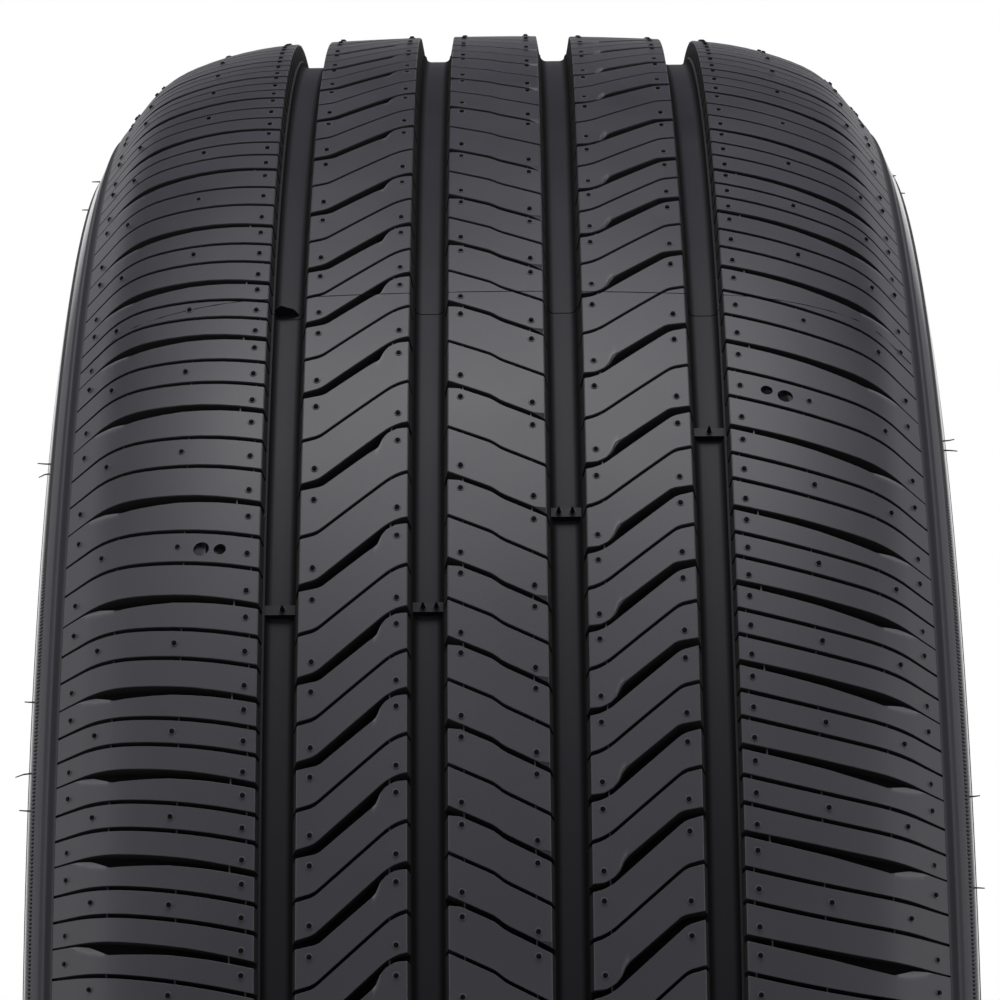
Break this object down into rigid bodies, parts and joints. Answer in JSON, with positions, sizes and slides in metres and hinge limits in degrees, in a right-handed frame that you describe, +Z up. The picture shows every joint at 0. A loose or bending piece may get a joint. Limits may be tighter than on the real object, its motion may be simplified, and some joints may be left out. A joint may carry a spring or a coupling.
{
  "type": "car tyre",
  "caption": "Bare rubber car tyre of low profile with a ribbed road tread, for a passenger car rim.",
  "frame": {"origin": "wheel centre, on the spin axis midway between the two beads", "axes": "+Y along the spin axis, +Z up with the tyre standing on its tread, +X the way it rolls"},
  "size_m": [0.6686, 0.238, 0.6686],
  "materials": {
    "tyre_rubber": "matte black rubber"
  },
  "bodies": {
    "root": {"tyre": "tyre_rubber"}
  },
  "joints": []
}
